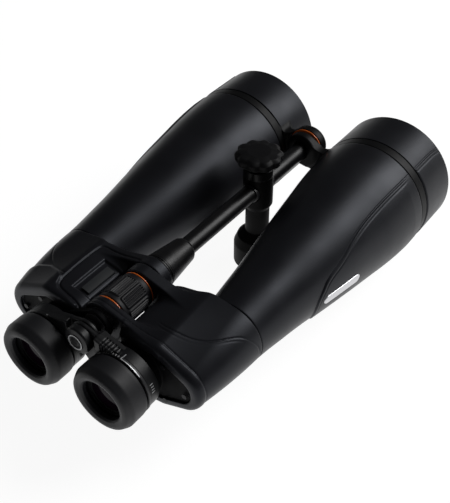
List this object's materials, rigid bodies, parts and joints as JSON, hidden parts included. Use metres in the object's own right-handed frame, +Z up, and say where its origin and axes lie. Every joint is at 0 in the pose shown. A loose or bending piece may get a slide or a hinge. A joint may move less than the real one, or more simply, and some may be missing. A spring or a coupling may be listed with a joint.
{
  "type": "binoculars",
  "caption": "large rubber-armoured Porro-prism binoculars with a central hinge rod, centre focus wheel, twist-up eyecups and a sliding tripod adapter",
  "frame": {"origin": "bottom centre of the whole object: midway between the two barrels and between the ends, level with the underside of the tripod foot", "axes": "+Y points from the eyepieces to the objectives, +X to the barrel in the user's right hand, +Z up"},
  "size_m": [0.2224, 0.325, 0.108],
  "materials": {
    "rubber_armour": "satin fine-grained rubber armour",
    "eyecup_rubber": "soft matte rubber",
    "cast_metal": "anodised black casting",
    "satin_black": "satin black paint",
    "black_cover": "matte black paint",
    "adapter_black": "matte black paint",
    "gloss_black": "semi-gloss black anodised",
    "steel": "turned steel",
    "black_screw": "blackened steel",
    "brass_insert": "turned brass",
    "prism_glass": "polished",
    "coated_glass": "multi-coated, polished",
    "eye_glass": "multi-coated, polished",
    "white_plastic": "natural nylon",
    "wheel_plastic": "moulded",
    "wheel_rubber": "ribbed grip rubber",
    "knob_rubber": "moulded grip rubber",
    "orange_trim": "gloss orange",
    "silver_badge": "satin silver plate",
    "grey_plate": "moulded grey plate"
  },
  "bodies": {
    "root": {"right_prism_housing": "cast_metal", "right_housing_armour": "rubber_armour", "right_rear_cover": "black_cover", "right_cover_screws": "black_screw", "right_front_prism": "prism_glass", "right_rear_prism": "prism_glass", "right_prism_shelf": "cast_metal", "right_barrel_armour": "rubber_armour", "right_barrel_tube": "cast_metal", "right_front_bridge": "satin_black", "right_objective_hood": "rubber_armour", "right_objective_cell": "satin_black", "right_objective_crown_lens": "coated_glass", "right_objective_flint_lens": "coated_glass", "hinge_axle": "steel", "centre_rod": "gloss_black", "cone_collar": "gloss_black", "hub_ring": "orange_trim", "hub_cap": "satin_black", "right_badge": "silver_badge"},
    "left_half": {"left_prism_housing": "cast_metal", "left_housing_armour": "rubber_armour", "left_rear_cover": "black_cover", "left_cover_screws": "black_screw", "left_front_prism": "prism_glass", "left_rear_prism": "prism_glass", "left_prism_shelf": "cast_metal", "left_barrel_armour": "rubber_armour", "left_barrel_tube": "cast_metal", "left_front_bridge": "satin_black", "left_objective_hood": "rubber_armour", "left_objective_cell": "satin_black", "left_objective_crown_lens": "coated_glass", "left_objective_flint_lens": "coated_glass", "accessory_plate": "grey_plate"},
    "wheel": {"focus_wheel": "wheel_plastic", "focus_wheel_pads": "wheel_rubber", "focus_wheel_rings": "orange_trim"},
    "right_carriage": {"focus_screw": "black_screw", "centre_cap": "satin_black", "right_bridge_arm": "satin_black", "right_ocular_sleeve": "satin_black"},
    "left_carriage": {"left_bridge_arm": "satin_black", "left_ocular_sleeve": "satin_black", "left_ocular_barrel": "satin_black", "left_eye_lens": "eye_glass", "left_field_lens": "eye_glass"},
    "dioptre": {"dioptre_ring": "wheel_plastic"},
    "right_ocular": {"right_ocular_barrel": "satin_black", "right_eye_lens": "eye_glass", "right_field_lens": "eye_glass"},
    "right_cup_guide": {"right_eyecup_guide": "white_plastic"},
    "right_cup": {"right_eyecup": "eyecup_rubber"},
    "left_cup_guide": {"left_eyecup_guide": "white_plastic"},
    "left_cup": {"left_eyecup": "eyecup_rubber"},
    "bush": {"adapter_bush": "wheel_plastic"},
    "adapter": {"tripod_adapter": "adapter_black", "tripod_insert": "brass_insert"},
    "clamp": {"clamp_screw": "steel"},
    "knob": {"lock_knob": "knob_rubber"}
  },
  "joints": [
    {"name": "ipd_hinge", "type": "hinge", "parent": "root", "child": "left_half", "pos_m": [0, 0.0025, 0.075], "axis": [0, 1, 0], "range_deg": [-9, 33]},
    {"name": "focus_wheel_turn", "type": "hinge", "parent": "root", "child": "wheel", "pos_m": [0, -0.1, 0.075], "axis": [0, -1, 0], "range_deg": [-143.5, 286.8]},
    {"name": "right_focus_slide", "type": "slide", "parent": "root", "child": "right_carriage", "axis": [0, -1, 0], "range_m": [-0.003, 0.006]},
    {"name": "left_focus_slide", "type": "slide", "parent": "left_half", "child": "left_carriage", "axis": [0, -1, 0], "range_m": [-0.003, 0.006]},
    {"name": "dioptre_turn", "type": "hinge", "parent": "right_carriage", "child": "dioptre", "pos_m": [0.031, -0.1415, 0.0537], "axis": [0, -1, 0], "range_deg": [-60, 60]},
    {"name": "right_dioptre_slide", "type": "slide", "parent": "right_carriage", "child": "right_ocular", "axis": [0, -1, 0], "range_m": [-0.0012, 0.0012]},
    {"name": "right_eyecup_lift", "type": "slide", "parent": "right_ocular", "child": "right_cup_guide", "axis": [0, -1, 0], "range_m": [0, 0.00797]},
    {"name": "right_eyecup_twist", "type": "hinge", "parent": "right_cup_guide", "child": "right_cup", "pos_m": [0.031, -0.1525, 0.0537], "axis": [0, -1, 0], "range_deg": [0, 120]},
    {"name": "left_eyecup_lift", "type": "slide", "parent": "left_carriage", "child": "left_cup_guide", "axis": [0, -1, 0], "range_m": [0, 0.00797]},
    {"name": "left_eyecup_twist", "type": "hinge", "parent": "left_cup_guide", "child": "left_cup", "pos_m": [-0.031, -0.1525, 0.0537], "axis": [0, -1, 0], "range_deg": [0, 120]},
    {"name": "adapter_slide", "type": "slide", "parent": "root", "child": "bush", "axis": [0, 1, 0], "range_m": [-0.078, 0.015]},
    {"name": "adapter_swivel", "type": "hinge", "parent": "bush", "child": "adapter", "pos_m": [0, 0.0555, 0.075], "axis": [0, 1, 0], "range_deg": [-3, 3]},
    {"name": "clamp_travel", "type": "slide", "parent": "adapter", "child": "clamp", "axis": [0, 0, 1], "range_m": [0, 0.0025]},
    {"name": "lock_knob_turn", "type": "hinge", "parent": "clamp", "child": "knob", "pos_m": [0, 0.0555, 0.103], "axis": [0, 0, 1], "range_deg": [0, 717]}
  ],
  "couplings": [
    {"joint": "focus_wheel_turn", "follows": "right_focus_slide", "rad_per_m": 833.33},
    {"joint": "left_focus_slide", "follows": "right_focus_slide", "ratio": 1},
    {"joint": "dioptre_turn", "follows": "right_dioptre_slide", "rad_per_m": 869.57},
    {"joint": "right_eyecup_twist", "follows": "right_eyecup_lift", "rad_per_m": 262.47},
    {"joint": "left_eyecup_twist", "follows": "left_eyecup_lift", "rad_per_m": 262.47},
    {"joint": "lock_knob_turn", "follows": "clamp_travel", "rad_per_m": 5000}
  ]
}
